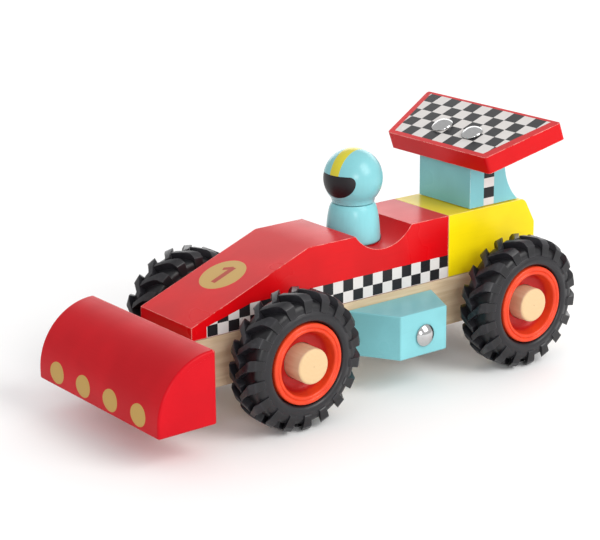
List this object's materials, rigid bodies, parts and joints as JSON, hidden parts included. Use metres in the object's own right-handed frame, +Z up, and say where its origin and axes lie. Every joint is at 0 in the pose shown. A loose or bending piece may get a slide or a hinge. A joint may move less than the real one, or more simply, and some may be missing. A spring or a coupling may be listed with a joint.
{
  "type": "pull-back car",
  "caption": "Wooden pull-back racing car with rubber tractor tyres, a peg driver, side pods and a tilted rear wing, driven by a spring motor on its rear axle.",
  "frame": {"origin": "on the ground under the centre of the bounding box", "axes": "+X towards the nose, +Y to the car's left, +Z up; the wheels stand on Z = 0"},
  "size_m": [0.2189, 0.0984, 0.105],
  "materials": {
    "natural_wood": "sanded, lightly waxed",
    "red_paint": "satin paint on wood",
    "yellow_paint": "satin paint on wood",
    "blue_paint": "satin paint on wood",
    "tyre": "moulded rubber",
    "rim_plastic": "moulded, semi-gloss",
    "polished_steel": "domed, polished",
    "steel": "drawn",
    "nylon": "moulded",
    "case_plastic": "moulded, fine texture"
  },
  "bodies": {
    "car_body": {"chassis": "natural_wood", "front_body": "red_paint", "engine_cover": "yellow_paint", "wing_strut": "blue_paint", "rear_wing": "red_paint", "nose_block": "red_paint", "side_pod_left": "blue_paint", "side_pod_right": "blue_paint", "pod_nail_left": "polished_steel", "pod_nail_right": "polished_steel", "wing_nail_left": "polished_steel", "wing_nail_right": "polished_steel", "front_axle_bush_left": "nylon", "front_axle_bush_right": "nylon", "front_body_dowel_rear": "natural_wood", "front_body_dowel_front": "natural_wood", "cover_dowel_left": "natural_wood", "cover_dowel_right": "natural_wood", "strut_dowel_left": "natural_wood", "strut_dowel_right": "natural_wood", "nose_dowel_left": "natural_wood", "nose_dowel_right": "natural_wood", "driver_body": "blue_paint", "driver_head": "blue_paint", "driver_pin": "natural_wood", "shaft_a": "steel", "shaft_b": "steel", "spring_arbor": "steel", "motor_case_left": "case_plastic", "motor_case_right": "case_plastic", "motor_screw_front": "steel", "motor_screw_rear": "steel"},
    "front_wheels": {"front_axle": "steel", "front_tyre_left": "tyre", "front_rim_left": "rim_plastic", "front_hub_dowel_left": "natural_wood", "front_tyre_right": "tyre", "front_rim_right": "rim_plastic", "front_hub_dowel_right": "natural_wood"},
    "rear_wheels": {"rear_axle": "steel", "rear_tyre_left": "tyre", "rear_rim_left": "rim_plastic", "rear_hub_dowel_left": "natural_wood", "rear_tyre_right": "tyre", "rear_rim_right": "rim_plastic", "rear_hub_dowel_right": "natural_wood", "axle_gear": "nylon"},
    "gear_a": {"gear_a": "nylon"},
    "gear_b": {"gear_b": "nylon"},
    "spring_drum": {"spring_drum": "nylon", "mainspring": "steel"}
  },
  "joints": [
    {"name": "front_axle_spin", "type": "hinge", "parent": "car_body", "child": "front_wheels", "pos_m": [0.0398, 0, 0.0286], "axis": [0, 1, 0], "continuous": true},
    {"name": "rear_axle_spin", "type": "hinge", "parent": "car_body", "child": "rear_wheels", "pos_m": [-0.0808, 0, 0.0286], "axis": [0, 1, 0], "continuous": true},
    {"name": "gear_a_spin", "type": "hinge", "parent": "car_body", "child": "gear_a", "pos_m": [-0.07158, 0, 0.026], "axis": [0, 1, 0], "continuous": true},
    {"name": "gear_b_spin", "type": "hinge", "parent": "car_body", "child": "gear_b", "pos_m": [-0.0625, 0, 0.026], "axis": [0, 1, 0], "continuous": true},
    {"name": "spring_drum_spin", "type": "hinge", "parent": "car_body", "child": "spring_drum", "pos_m": [-0.05242, 0, 0.026], "axis": [0, 1, 0], "continuous": true}
  ],
  "couplings": [
    {"joint": "gear_a_spin", "follows": "rear_axle_spin", "ratio": -0.58333},
    {"joint": "gear_b_spin", "follows": "rear_axle_spin", "ratio": 0.29167},
    {"joint": "spring_drum_spin", "follows": "rear_axle_spin", "ratio": -0.125}
  ]
}
